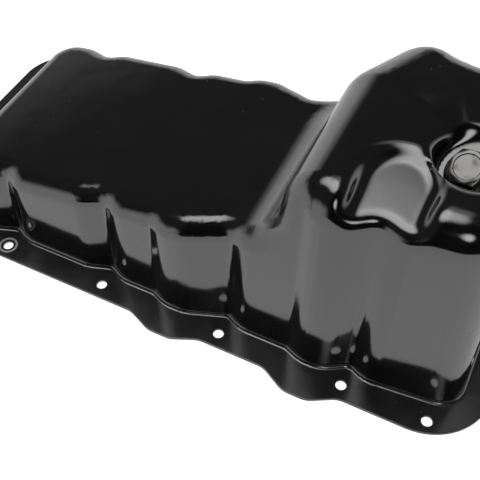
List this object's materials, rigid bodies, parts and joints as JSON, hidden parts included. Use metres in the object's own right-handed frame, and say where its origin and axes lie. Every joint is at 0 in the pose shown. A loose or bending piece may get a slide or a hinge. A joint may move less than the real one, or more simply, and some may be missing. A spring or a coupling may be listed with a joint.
{
  "type": "engine oil pan",
  "caption": "Deep-drawn engine oil pan with a scalloped gasket flange, a shallow sloping floor, a deep sump and a hexagon drain plug.",
  "frame": {"origin": "centre of the four corner bolts, on the gasket face", "axes": "+X along the pan toward the sump end, +Z from the gasket face toward the sump floor; the pan lies upside down with its gasket face on the ground, as pictured"},
  "size_m": [0.4305, 0.224, 0.1483],
  "materials": {
    "black_coated_steel": "gloss black coating",
    "zinc_plated_steel": "zinc plated",
    "washer_aluminium": "satin"
  },
  "bodies": {
    "root": {"pan_shell": "black_coated_steel", "drain_nut": "black_coated_steel", "drain_plug": "zinc_plated_steel", "drain_plug_gasket": "washer_aluminium"}
  },
  "joints": []
}
